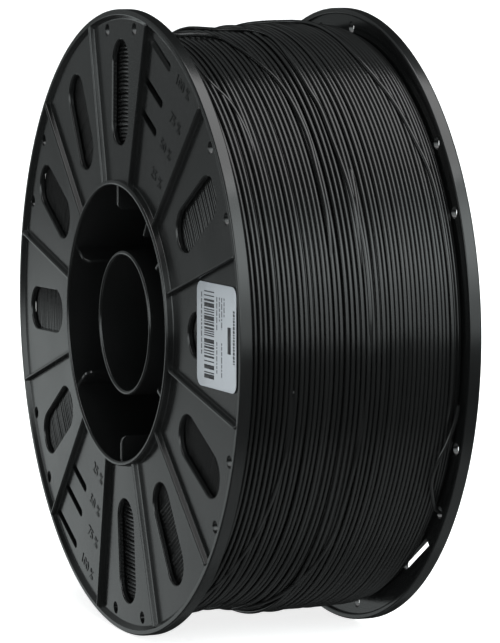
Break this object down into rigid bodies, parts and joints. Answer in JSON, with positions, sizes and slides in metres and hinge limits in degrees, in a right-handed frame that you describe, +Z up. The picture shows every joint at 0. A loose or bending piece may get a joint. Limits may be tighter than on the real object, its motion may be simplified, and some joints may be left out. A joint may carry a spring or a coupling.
{
  "type": "filament spool",
  "caption": "Filament spool with slotted, ribbed flanges on a hollow core with a central bore, full of wound plastic filament whose loose end is tucked into a flange hole.",
  "frame": {"origin": "centre of the bore, half way between the flanges", "axes": "+Y along the spool's axis, away from the labelled flange; +Z up as the spool hangs on a holder's bar, with the label at three o'clock seen from the front"},
  "size_m": [0.25, 0.1048, 0.25],
  "materials": {
    "spool_plastic": "moulded black polystyrene, satin gloss",
    "filament": "extruded black filament, satin gloss",
    "label_paper": "smooth coated paper, printed in black"
  },
  "bodies": {
    "root": {"front_spool_half": "spool_plastic", "rear_spool_half": "spool_plastic", "wound_filament": "filament", "filament_end": "filament", "front_label": "label_paper"}
  },
  "joints": []
}
